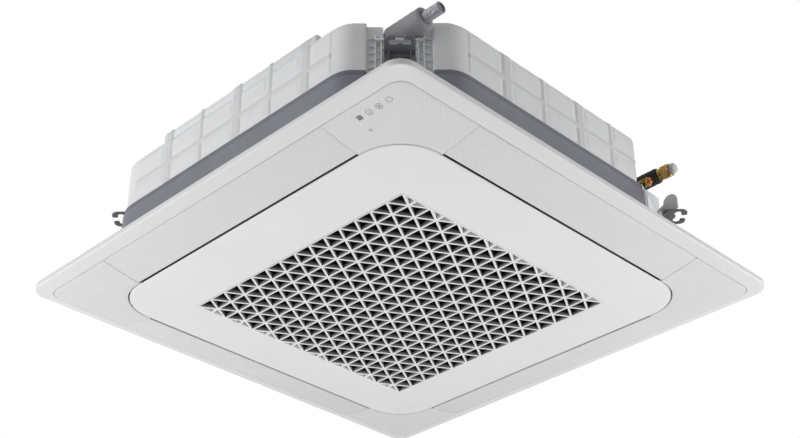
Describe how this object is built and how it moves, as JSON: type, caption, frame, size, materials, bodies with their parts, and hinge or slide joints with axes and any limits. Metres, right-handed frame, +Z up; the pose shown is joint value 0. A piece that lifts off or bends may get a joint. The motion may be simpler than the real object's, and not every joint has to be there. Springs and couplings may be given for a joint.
{
  "type": "ceiling cassette air conditioner",
  "caption": "Square ceiling cassette air conditioner: a panel with swinging air blades round a hinged lattice door, below a body with fan, coil, drain and pipe stubs.",
  "frame": {"origin": "middle of the intake door's flat underside, the lowest point of the unit", "axes": "+Z up into the ceiling void; +X towards the side where the refrigerant pipes and the drain leave; -Y is the side that faces left in the picture"},
  "size_m": [0.95, 0.95, 0.259],
  "materials": {
    "panel_white": "satin white",
    "blade_white": "fine-grained white",
    "shell_white": "milky moulded white",
    "tray_grey": "matt blue-grey",
    "window_grey": "smoked, glossy",
    "black_plastic": "matt black",
    "filter_dark": "dark mesh",
    "zinc_steel": "galvanised",
    "hanger_steel": "dark coated sheet",
    "pan_foam": "moulded foam",
    "fin_aluminium": "finned",
    "copper": "drawn copper",
    "brass": "machined",
    "black_foam": "closed-cell foam",
    "grey_foam": "closed-cell foam",
    "clear_grey": "translucent grey",
    "rubber": "moulded rubber"
  },
  "bodies": {
    "unit": {"panel_frame": "panel_white", "blade_motor_front": "black_plastic", "blade_motor_right": "black_plastic", "blade_motor_rear": "black_plastic", "blade_motor_left": "black_plastic", "corner_cover_near": "blade_white", "corner_cover_pipe": "blade_white", "corner_cover_far": "blade_white", "corner_cover_left": "blade_white", "receiver_window": "window_grey", "door_hinge_pin_1": "zinc_steel", "door_hinge_pin_2": "zinc_steel", "control_box": "zinc_steel", "control_box_cover": "zinc_steel", "panel_screw_near": "zinc_steel", "panel_screw_pipe": "zinc_steel", "panel_screw_far": "zinc_steel", "panel_screw_left": "zinc_steel", "base_tray": "tray_grey", "upper_shell": "shell_white", "top_plate": "zinc_steel", "hanger_near": "hanger_steel", "hanger_pipe": "hanger_steel", "hanger_far": "hanger_steel", "hanger_left": "hanger_steel", "bell_mouth": "black_plastic", "fan_motor": "zinc_steel", "motor_mount_1": "rubber", "motor_mount_2": "rubber", "motor_mount_3": "rubber", "drain_pan": "pan_foam", "heat_exchanger": "fin_aluminium", "gas_header": "copper", "gas_pipe": "copper", "gas_sleeve": "black_foam", "gas_flare_nut": "brass", "gas_cap": "shell_white", "liquid_header": "copper", "liquid_pipe": "copper", "liquid_sleeve": "black_foam", "liquid_flare_nut": "brass", "liquid_cap": "shell_white", "drain_pump": "shell_white", "drain_pipe": "clear_grey", "drain_sleeve": "grey_foam", "float_switch": "shell_white"},
    "front_blade": {"blade_front": "blade_white"},
    "right_blade": {"blade_right": "blade_white"},
    "rear_blade": {"blade_rear": "blade_white"},
    "left_blade": {"blade_left": "blade_white"},
    "intake_door": {"grille_door": "panel_white", "grille_lattice": "panel_white", "air_filter": "filter_dark"},
    "latch_1": {"door_latch_1": "black_plastic"},
    "latch_2": {"door_latch_2": "black_plastic"},
    "fan": {"turbo_fan": "black_plastic", "motor_shaft": "zinc_steel", "fan_nut": "zinc_steel"},
    "water_float": {"float": "black_plastic"}
  },
  "joints": [
    {"name": "front_blade_swing", "type": "hinge", "parent": "unit", "child": "front_blade", "pos_m": [0, -0.3815, 0.019], "axis": [1, 0, 0], "range_deg": [0, 60]},
    {"name": "right_blade_swing", "type": "hinge", "parent": "unit", "child": "right_blade", "pos_m": [0.3815, 0, 0.019], "axis": [0, 1, 0], "range_deg": [0, 60]},
    {"name": "rear_blade_swing", "type": "hinge", "parent": "unit", "child": "rear_blade", "pos_m": [0, 0.3815, 0.019], "axis": [-1, 0, 0], "range_deg": [0, 60]},
    {"name": "left_blade_swing", "type": "hinge", "parent": "unit", "child": "left_blade", "pos_m": [-0.3815, 0, 0.019], "axis": [0, -1, 0], "range_deg": [0, 60]},
    {"name": "intake_door_hinge", "type": "hinge", "parent": "unit", "child": "intake_door", "pos_m": [0, 0.354, 0.0118], "axis": [1, 0, 0], "range_deg": [0, 75]},
    {"name": "latch_1_slide", "type": "slide", "parent": "intake_door", "child": "latch_1", "axis": [0, 0, 1], "range_m": [-0.003, 0], "stiffness_N_per_m": 500, "springref_m": 0.002},
    {"name": "latch_2_slide", "type": "slide", "parent": "intake_door", "child": "latch_2", "axis": [0, 0, 1], "range_m": [-0.003, 0], "stiffness_N_per_m": 500, "springref_m": 0.002},
    {"name": "fan_spin", "type": "hinge", "parent": "unit", "child": "fan", "pos_m": [0, 0, 0.16], "axis": [0, 0, 1], "continuous": true},
    {"name": "float_rise", "type": "slide", "parent": "unit", "child": "water_float", "axis": [0, 0, 1], "range_m": [0, 0.012]}
  ]
}
